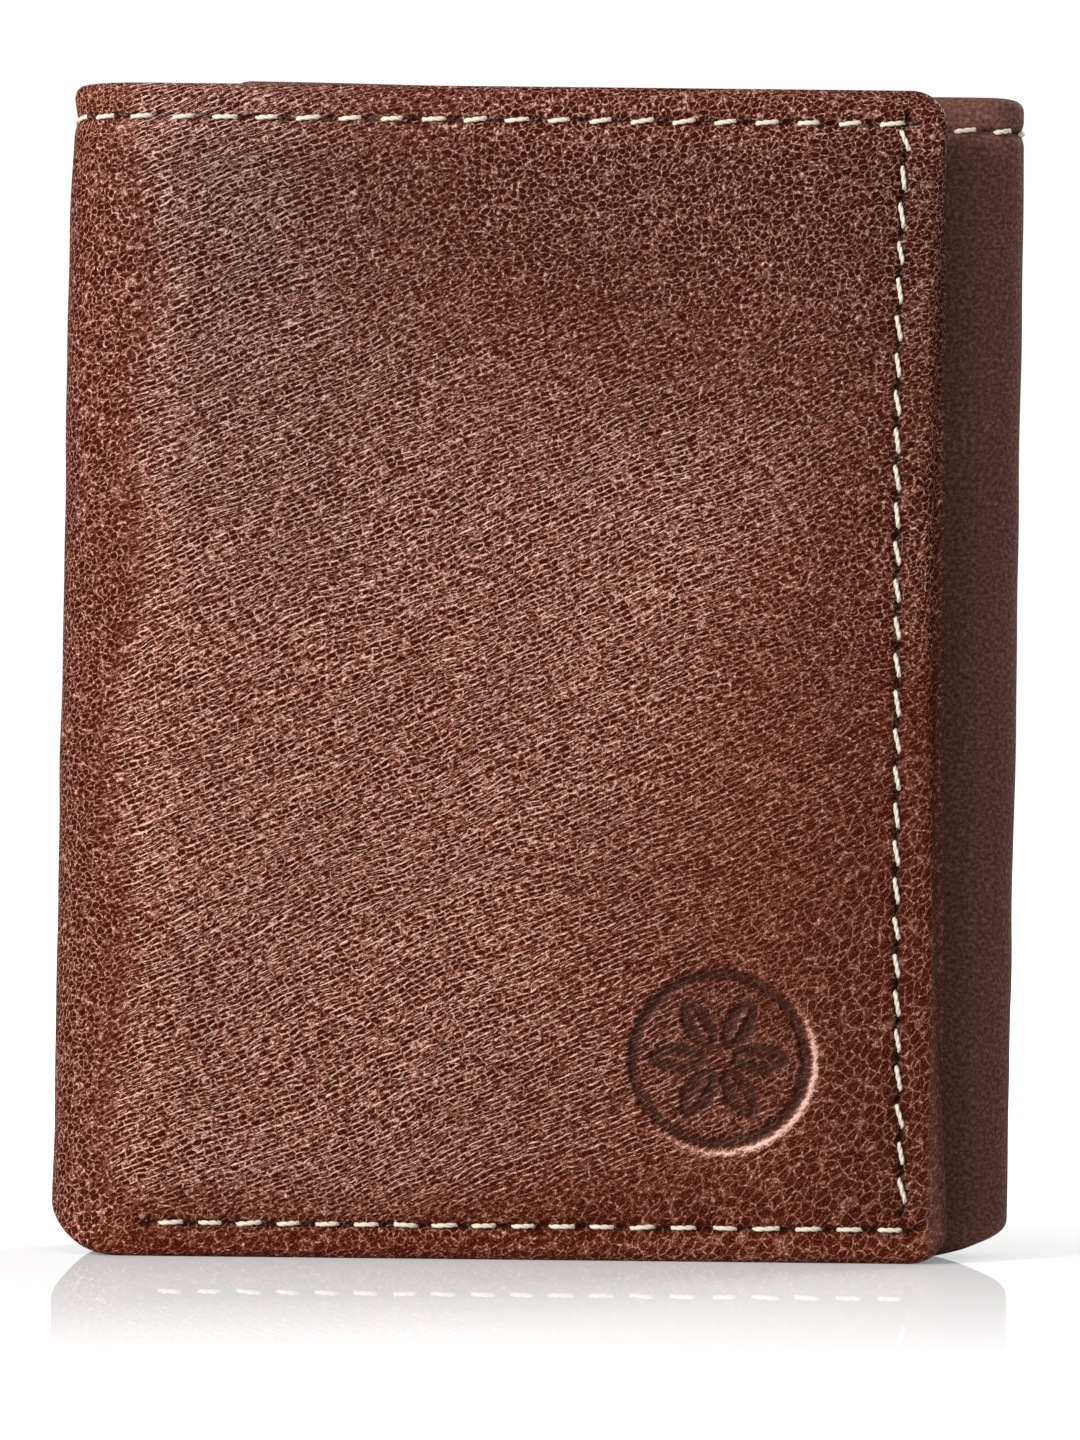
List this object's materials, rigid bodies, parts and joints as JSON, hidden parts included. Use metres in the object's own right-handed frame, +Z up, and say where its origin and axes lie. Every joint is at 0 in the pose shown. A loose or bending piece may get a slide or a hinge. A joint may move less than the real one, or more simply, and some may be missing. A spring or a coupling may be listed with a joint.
{
  "type": "trifold wallet",
  "caption": "Leather trifold wallet, closed and upright: front and inner flaps fold about a back panel, with note compartment, card pockets and window.",
  "frame": {"origin": "centre of the closed wallet's box, on the plane of its lower edges", "axes": "+X from the left fold to the right fold, +Y from the front flap to the back panel, +Z up along the folds"},
  "size_m": [0.0888, 0.0168, 0.108],
  "materials": {
    "shell_leather": "red-brown pebbled leather with a soft waxy sheen, pale on the grain's ridges",
    "pocket_leather": "thin smooth dark brown leather",
    "lining_cloth": "plain woven dark lining cloth",
    "thread": "beige two-ply waxed thread",
    "board": "grey fibre board, hidden",
    "clear_film": "clear soft vinyl"
  },
  "bodies": {
    "centre": {"centre_shell": "shell_leather", "centre_stiffener": "board", "centre_bill_lining": "lining_cloth", "centre_wall": "pocket_leather", "slip_pocket": "pocket_leather", "id_window": "clear_film", "id_frame": "pocket_leather", "centre_stitching": "thread", "id_stitching": "thread"},
    "left_spine": {"left_fold_shell": "shell_leather", "left_fold_lining": "lining_cloth", "left_fold_wall": "pocket_leather", "left_fold_stitching": "thread"},
    "front_flap": {"front_shell": "shell_leather", "front_stiffener": "board", "front_bill_lining": "lining_cloth", "front_wall": "pocket_leather", "front_card_pocket_rear": "pocket_leather", "front_card_pocket_middle": "pocket_leather", "front_card_pocket_near": "pocket_leather", "front_stitching": "thread", "front_pocket_stitching": "thread"},
    "right_spine": {"right_fold_shell": "shell_leather", "right_fold_lining": "lining_cloth", "right_fold_wall": "pocket_leather", "right_fold_stitching": "thread"},
    "inner_flap": {"inner_shell": "shell_leather", "inner_stiffener": "board", "inner_bill_lining": "lining_cloth", "inner_wall": "pocket_leather", "inner_card_pocket_rear": "pocket_leather", "inner_card_pocket_middle": "pocket_leather", "inner_card_pocket_near": "pocket_leather", "inner_stitching": "thread", "inner_pocket_stitching": "thread"}
  },
  "joints": [
    {"name": "left_fold_back", "type": "hinge", "parent": "centre", "child": "left_spine", "pos_m": [-0.0424, 0.00635, 0.054], "axis": [0, 0, -1], "range_deg": [0, 90]},
    {"name": "left_fold_front", "type": "hinge", "parent": "left_spine", "child": "front_flap", "pos_m": [-0.0424, -0.00635, 0.054], "axis": [0, 0, -1], "range_deg": [0, 90]},
    {"name": "right_fold_back", "type": "hinge", "parent": "centre", "child": "right_spine", "pos_m": [0.04316, 0.00711, 0.054], "axis": [0, 0, 1], "range_deg": [0, 90]},
    {"name": "right_fold_front", "type": "hinge", "parent": "right_spine", "child": "inner_flap", "pos_m": [0.04316, -0.00071, 0.054], "axis": [0, 0, 1], "range_deg": [0, 90]}
  ],
  "couplings": [
    {"joint": "left_fold_front", "follows": "left_fold_back", "ratio": 1},
    {"joint": "right_fold_back", "follows": "left_fold_back", "ratio": 0.15},
    {"joint": "right_fold_front", "follows": "left_fold_back", "ratio": 0.15}
  ]
}
